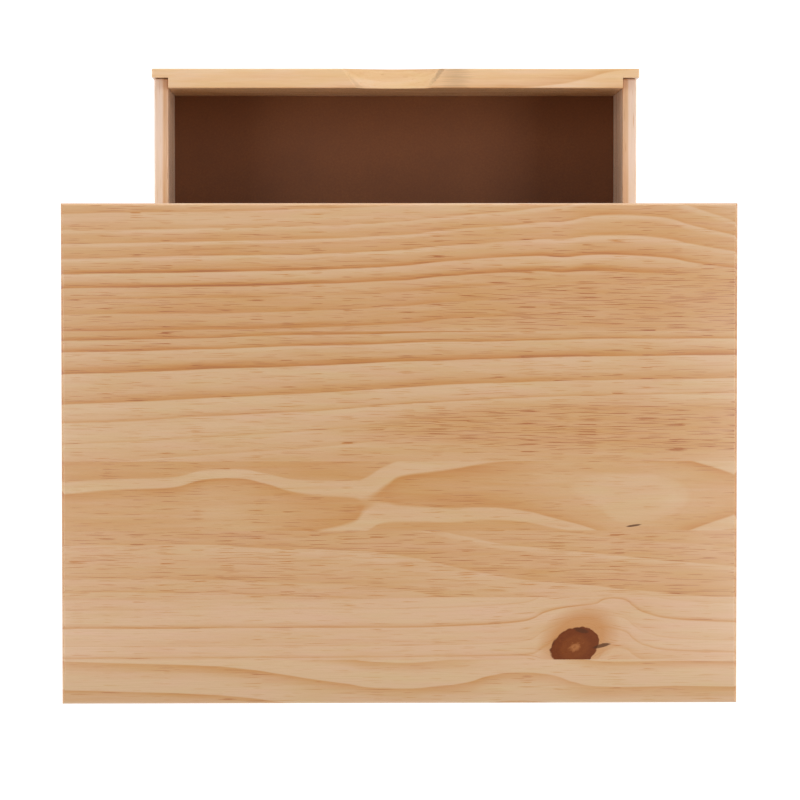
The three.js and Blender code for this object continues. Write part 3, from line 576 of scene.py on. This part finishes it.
def cut_away(board, place, direction):
    """Takes off what lies past a plane and closes the cut."""
    everything = board.verts[:] + board.edges[:] + board.faces[:]
    cut = bmesh.ops.bisect_plane(
        board, geom=everything, plane_co=place, plane_no=direction, clear_outer=True
    )
    rim = [item for item in cut["geom_cut"] if isinstance(item, bmesh.types.BMEdge)]
    bmesh.ops.contextual_create(board, geom=rim)


def mesh_piece(name, board, material):
    """An object in the scene from a bmesh, smooth but for its sharp corners."""
    mesh = bpy.data.meshes.new(name)
    board.normal_update()
    board.to_mesh(mesh)
    board.free()
    mesh.shade_smooth()
    mesh.set_sharp_from_angle(angle=math.radians(SHARP_ANGLE))
    mesh.materials.append(material)
    piece = bpy.data.objects.new(name, mesh)
    bpy.context.scene.collection.objects.link(piece)
    return piece


def make_lid():
    """Replaces the lid's panel with its staves, each cut from the same eased board."""
    front = lid_low.y
    length = (lid_high.x - lid_low.x) / MM
    for index, stave in enumerate(STAVES):
        cut = dict(stave)
        back = front + cut.pop("width") * MM
        board = rounded_board(lid_low, lid_high, LID_EASE)
        if index > 0:
            cut_away(board, Vector((0, front, 0)), Vector((0, -1, 0)))
        if index < len(STAVES) - 1:
            cut_away(board, Vector((0, back, 0)), Vector((0, 1, 0)))
        name = f"lid_stave_{index + 1}"
        start = (lid_high.x, front, lid_high.z)
        piece = mesh_piece(name, board, pine(f"pine_{name}", "Xyz", start, length, **cut))
        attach(piece, "lid")
        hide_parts("lid_panel")
        front = back


# ---------------------------------------------------------------- finishes on the frame's pieces

MERGE_WITHIN = 0.002 * MM
SHARP_ABOVE = 40  # degrees
BOARD_SHARP_ABOVE = 18  # a lower limit: the scoop's fine facets are smoothed, wider angles aren't


def soften(piece, sharp_above):
    """Smooth shading over gentle corners, with those above so many degrees kept sharp."""
    name = f"smooth_below_{sharp_above}_degrees"
    group = bpy.data.node_groups.get(name)
    if group is None:
        group = bpy.data.node_groups.new(name, "GeometryNodeTree")
        for way in ("INPUT", "OUTPUT"):
            group.interface.new_socket("Geometry", in_out=way, socket_type="NodeSocketGeometry")
        given = add(group, "NodeGroupInput")
        merge = {"Geometry": given, "Distance": MERGE_WITHIN}
        joined = add(group, "GeometryNodeMergeByDistance", merge)
        limit = (add(group, "GeometryNodeInputMeshEdgeAngle"), math.radians(sharp_above))
        gentle = add(group, "FunctionNodeCompare", limit, operation="LESS_THAN")
        faces = {"Geometry": joined, "Shade Smooth": True}
        smooth = add(group, "GeometryNodeSetShadeSmooth", faces, domain="FACE")
        edges = {"Geometry": smooth, "Shade Smooth": gentle}
        done = add(group, "GeometryNodeSetShadeSmooth", edges, domain="EDGE")
        add(group, "NodeGroupOutput", (done,))
    piece.modifiers.new(name, "NODES").node_group = group


def finish_node(name, material, sharp_above=SHARP_ABOVE):
    """Gives a piece of the frame its material and its smooth shading."""
    piece = nodes[name]
    piece.data.materials.clear()
    piece.data.materials.append(material)
    soften(piece, sharp_above)


def pine_node(name, axes, **cut):
    """Pine for one board of the frame, its distances counted from the board's own corner."""
    low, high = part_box(name)
    letters = ["xyz".index(axis.lower()) for axis in axes]
    start = [high[i] if axis.isupper() else low[i] for i, axis in zip(letters, axes)]
    length = (high[letters[0]] - low[letters[0]]) / MM
    finish_node(name, pine(f"pine_{name}", axes, start, length, **cut), BOARD_SHARP_ABOVE)


def later_years(first, width, unevenness, pace, count, tones):
    """Years past the first, each of about one width."""
    edges = [first + width * n + unevenness * math.sin(pace * n) for n in range(1, count + 1)]
    return [(edge, *tones) for edge in edges]


DRAWER_FRONT_YEARS = [(30, 0.3, 0.2), (42.4, 0.5, 0.2)]
DRAWER_FRONT_YEARS += later_years(42.4, 12.0, 3, 2.3, 12, (0.55, 0.12))
DRAWER_SIDE_YEARS = [(34.2, 0.0, 0.6), (44, 0.5, 0.1)]
DRAWER_SIDE_YEARS += later_years(44, 9.0, 2, 1.9, 13, (0.5, 0.1))


def finish_drawer():
    pine_node(
        "drawer_front", "xZy", years=DRAWER_FRONT_YEARS, heart=((0, 30),),
        depth=((0, 30), (20, 28.5), (45, 22), (79, 16), (140, 12), (390, 6)),
        warp=0.5, shift=121, streaks=-1.0, rosy=0.3, tones=PALE_PINE,
        # These two marks are painted shade: dark bands just below the top edge, where the scoop's
        # flanks run down. The darker one, at 161 mm, is on the flank that faces away from the
        # stronger right softbox.
        marks=[((161, 1.3), (20, 1.3), 0, 0.34), ((232, 1.1), (20, 1.1), 0, 0.16)],
    )
    for side, axes, shift in (("left", "yZx", 131), ("right", "yZX", 137)):
        pine_node(
            f"drawer_side_{side}", axes, years=DRAWER_SIDE_YEARS, heart=((0, 30),),
            depth=((0, 10),), warp=0.5, shift=shift, streaks=0.0, rosy=1.0, tone=-0.12,
            tones=PALE_PINE,
        )
    pine_node("drawer_back", "xzy", ring=8, shift=139, tone=-0.05)


def finish_carcass():
    panel_line = {"heart": ((0, 100), (448, 130)), "depth": ((0, 26), (200, 12), (448, 34))}
    pine_node("front_panel", "xzy", ring=12, shift=149, **panel_line)
    side_line = {"heart": ((0, 120), (400, 160)), "depth": ((0, 14), (180, 30), (400, 18))}
    post_line = {"heart": ((0, -30),), "depth": ((0, 24),)}
    for side, shift in (("left", 151), ("right", 157)):
        pine_node(f"side_panel_{side}", "zyx", ring=12, shift=shift, **side_line)
        pine_node(f"lid_batten_{side}", "yxz", shift=shift + 3)
        for end in ("front", "rear"):
            shift += 6
            pine_node(f"post_{end}_{side}", "zxy", ring=8, shift=shift, **post_line)
    pine_node("back_top_rail", "xzy", shift=191)
    pine_node("back_bottom_rail", "xzy", shift=193)
    pine_node("front_bottom_rail", "xzy", ring=8, shift=197)


# The hidden strips of wood, with the way each one's grain runs.
STRIPS = {
    "floor_cleat_left": "yxz",
    "floor_cleat_right": "yxz",
    "floor_cleat_front": "xyz",
    "floor_cleat_rear": "xyz",
    "drawer_runner_left": "yxz",
    "drawer_runner_right": "yxz",
    "drawer_guide_left": "yzx",
    "drawer_guide_right": "yzx",
    "drawer_stop_left": "xyz",
    "drawer_stop_right": "xyz",
    "drawer_catch": "zxy",
}


def finish_inside():
    for index, (name, axes) in enumerate(STRIPS.items()):
        pine_node(name, axes, ring=5, shift=211 + 7 * index, tone=0.12)
    floor_line = {"heart": ((0, 160),), "depth": ((0, 40),)}
    pine_node("compartment_floor", "xyz", ring=14, shift=307, tone=0.05, **floor_line)
    brown = hardboard("hardboard")
    for name in ("drawer_bottom", "back_panel"):
        finish_node(name, brown)


def finish_fittings():
    hinge_steel = zinc_plated_steel("zinc_plated_hinge_steel", 4.0)
    fixing_steel = zinc_plated_steel("zinc_plated_fixings", 1.5)
    felt = pressed_felt("pressed_felt")
    nylon = moulded_nylon("moulded_nylon")
    for name in nodes:
        if "screw" in name or "nail" in name:
            finish_node(name, fixing_steel)
        elif name.startswith("hinge"):
            finish_node(name, hinge_steel)
        elif name.startswith("lid_bumper"):
            finish_node(name, felt)
        elif name.startswith("foot_glide"):
            finish_node(name, nylon)


# ---------------------------------------------------------------- studio

CAMERA_HEIGHT = 3.133  # above the floor
CAMERA_RIGHT = 0.0348  # of the object's middle, in x
CAMERA_FORWARD = 0.05905  # of the object's middle, towards -y
CAMERA_TURNS = (-0.0132, -0.0295, 0.0006)  # about its up, right and forward lines, in radians
LENS = 149.6
SENSOR = 36.0
CLIP_END = 50.0

# Each softbox has its place and its size in metres, and its power in watts.
LIGHT_TARGET = Vector((0, 0, 0.4))
SOFTBOXES = {
    "left_softbox": ((2.95, 0.0, 3.2), (2.8, 1.4), 66),
    "right_softbox": ((-2.95, 0.0, 3.2), (2.8, 1.4), 83),
    "front_strip": ((0.0, -2.2, 0.72), (2.8, 0.3), 26),
    "left_wall": ((2.4, 0.0, 1.0), (2.0, 1.6), 14),
    "right_wall": ((-2.4, 0.0, 1.0), (2.0, 1.6), 14),
    "rear_wall": ((0.0, 2.6, 1.0), (2.4, 1.6), 9),
}
WHITE = (1, 1, 1, 1)
AMBIENT = 0.3
FLOOR_REACH = 60.0  # m, so far that a low view doesn't see past it
FLOOR_GLOW = 0.92


def turned(vector, axis, angle):
    return Quaternion(axis, angle) @ vector


def make_camera():
    """Straight above the box, with the drawer to the top of the frame."""
    yaw, pitch, roll = CAMERA_TURNS
    right, up, forward = Vector((-1, 0, 0)), Vector((0, -1, 0)), Vector((0, 0, -1))
    right, forward = turned(right, up, yaw), turned(forward, up, yaw)
    up, forward = turned(up, right, pitch), turned(forward, right, pitch)
    right, up = turned(right, forward, roll), turned(up, forward, roll)
    data = bpy.data.cameras.new("camera")
    data.lens = LENS
    data.sensor_width = SENSOR
    data.clip_end = CLIP_END
    camera = bpy.data.objects.new("camera", data)
    turn = Matrix((right, up, -forward)).transposed().to_4x4()
    middle = (cad_low + cad_high) / 2
    place = Vector((middle.x + CAMERA_RIGHT, middle.y - CAMERA_FORWARD, cad_low.z + CAMERA_HEIGHT))
    camera.matrix_world = Matrix.Translation(place) @ turn
    bpy.context.scene.collection.objects.link(camera)
    bpy.context.scene.camera = camera


def softbox(name, place, size, power):
    """A rectangular light aimed at the box."""
    data = bpy.data.lights.new(name, "AREA")
    data.shape = "RECTANGLE"
    data.size, data.size_y = size
    data.energy = power
    light = bpy.data.objects.new(name, data)
    aim = (LIGHT_TARGET - Vector(place)).to_track_quat("-Z", "Y").to_matrix().to_4x4()
    light.matrix_world = Matrix.Translation(Vector(place)) @ aim
    bpy.context.scene.collection.objects.link(light)


def make_floor():
    """A flat white floor with a little light of its own, as a light table has."""
    made, tree = blank("white_studio_floor")
    place = add(tree, COORDINATES).outputs["Object"]
    cloud = add(tree, NOISE, {"Vector": place, "Scale": 3.0, "Detail": 2.0})
    show(tree, {
        "Base Color": add(tree, RAMP, (cloud,), stops=[(0.3, "#969696"), (0.7, "#9a9a9a")]),
        "Roughness": 0.9,
        "Specular IOR Level": 0.0,
        "Emission Color": WHITE,
        "Emission Strength": FLOOR_GLOW,
    })
    plane = bmesh.new()
    bmesh.ops.create_grid(plane, x_segments=1, y_segments=1, size=FLOOR_REACH)
    floor = mesh_piece("studio_floor", plane, made)
    floor.location.z = cad_low.z


def make_light():
    for name, (place, size, power) in SOFTBOXES.items():
        softbox(name, place, size, power)
    world = bpy.data.worlds.new("studio")
    world.use_nodes = True
    background = world.node_tree.nodes["Background"]
    background.inputs["Color"].default_value = WHITE
    background.inputs["Strength"].default_value = AMBIENT
    bpy.context.scene.world = world
    bpy.context.scene.view_settings.view_transform = "Standard"


make_camera()
make_light()
make_floor()
make_lid()
finish_drawer()
finish_carcass()
finish_inside()
finish_fittings()
